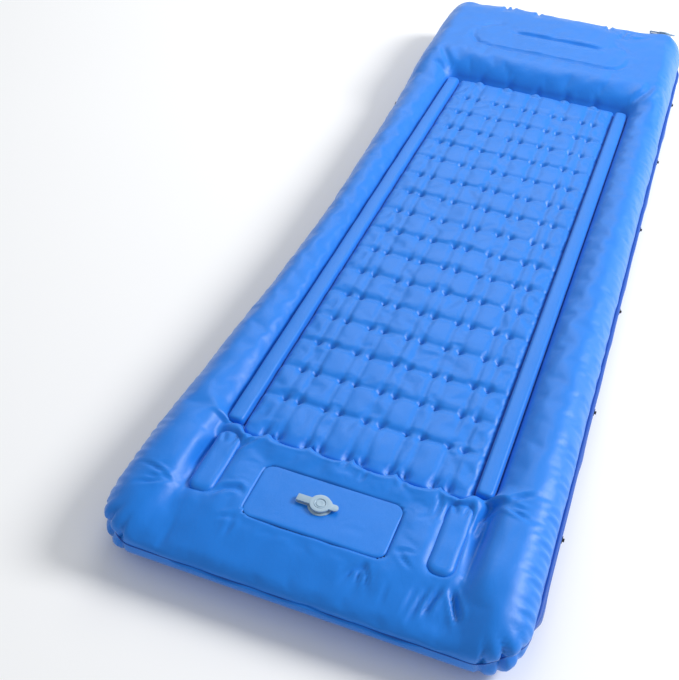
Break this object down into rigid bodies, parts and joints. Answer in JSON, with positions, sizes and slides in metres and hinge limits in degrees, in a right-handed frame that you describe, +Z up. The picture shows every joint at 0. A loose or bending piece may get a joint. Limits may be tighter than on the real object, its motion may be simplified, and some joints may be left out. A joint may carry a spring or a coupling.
{
  "type": "inflatable sleeping mat with pillow",
  "caption": "Inflatable camping mat with a built-in pillow, quilted field between side bolsters, foot pump with a lidded valve, side snaps and a deflation valve.",
  "frame": {"origin": "on the ground under the middle of the mat", "axes": "+Z up, +Y towards the pillow, +X to the right side as seen from the foot"},
  "size_m": [0.7085, 2.1, 0.1482],
  "materials": {
    "top_fabric": "satin coated nylon",
    "base_fabric": "matt coated nylon",
    "seam_fabric": "welded double fabric",
    "tie_fabric": "coated fabric strip",
    "pouch_film": "coated fabric",
    "pump_foam": "open-cell foam",
    "valve_rubber": "soft silicone",
    "snap_plastic": "moulded"
  },
  "bodies": {
    "mat": {"base_sheet": "base_fabric", "left_bolster": "top_fabric", "right_bolster": "top_fabric", "pillow": "top_fabric", "pillow_ties": "tie_fabric", "cell_field": "top_fabric", "field_ties": "tie_fabric", "left_rail": "top_fabric", "right_rail": "top_fabric", "foot_chamber": "top_fabric", "left_channel": "top_fabric", "right_channel": "top_fabric", "pump_pouch": "pouch_film", "pump_foam": "pump_foam", "transfer_valve_body": "valve_rubber", "deflation_valve_base": "valve_rubber", "left_flange": "seam_fabric", "right_flange": "seam_fabric", "snap_studs": "snap_plastic", "snap_stud_caps": "snap_plastic", "snap_sockets": "snap_plastic", "snap_socket_caps": "snap_plastic", "head_hem": "seam_fabric", "foot_hem": "seam_fabric"},
    "pump_top": {"pump_panel": "top_fabric", "pump_valve_base": "valve_rubber"},
    "pump_lid": {"pump_valve_cap": "valve_rubber"},
    "pump_check": {"pump_valve_flap": "valve_rubber"},
    "transfer_check": {"transfer_valve_flap": "valve_rubber"},
    "deflation_lid": {"deflation_valve_cap": "valve_rubber"},
    "deflation_check": {"deflation_valve_flap": "valve_rubber"}
  },
  "joints": [
    {"name": "pump_press", "type": "slide", "parent": "mat", "child": "pump_top", "axis": [0, 0, 1], "range_m": [-0.045, 0], "stiffness_N_per_m": 2600, "deforming": ["pump_foam"]},
    {"name": "pump_lid_hinge", "type": "hinge", "parent": "pump_top", "child": "pump_lid", "pos_m": [-0.054, -0.892, 0.1036], "axis": [0, -1, 0], "range_deg": [0, 150]},
    {"name": "pump_check_hinge", "type": "hinge", "parent": "pump_top", "child": "pump_check", "pos_m": [-0.0235, -0.892, 0.0799], "axis": [0, 1, 0], "range_deg": [0, 45], "stiffness_Nm_per_rad": 0.002},
    {"name": "transfer_check_hinge", "type": "hinge", "parent": "mat", "child": "transfer_check", "pos_m": [-0.009, -0.8269, 0.054], "axis": [1, 0, 0], "range_deg": [0, 45], "stiffness_Nm_per_rad": 0.002},
    {"name": "deflation_lid_hinge", "type": "hinge", "parent": "mat", "child": "deflation_lid", "pos_m": [0.2195, 1.02141, 0.13515], "axis": [0, -0.8192, 0.5736], "range_deg": [0, 150]},
    {"name": "deflation_check_hinge", "type": "hinge", "parent": "mat", "child": "deflation_check", "pos_m": [0.25, 1.00782, 0.11574], "axis": [0, 0.8192, -0.5736], "range_deg": [0, 45], "stiffness_Nm_per_rad": 0.002}
  ]
}
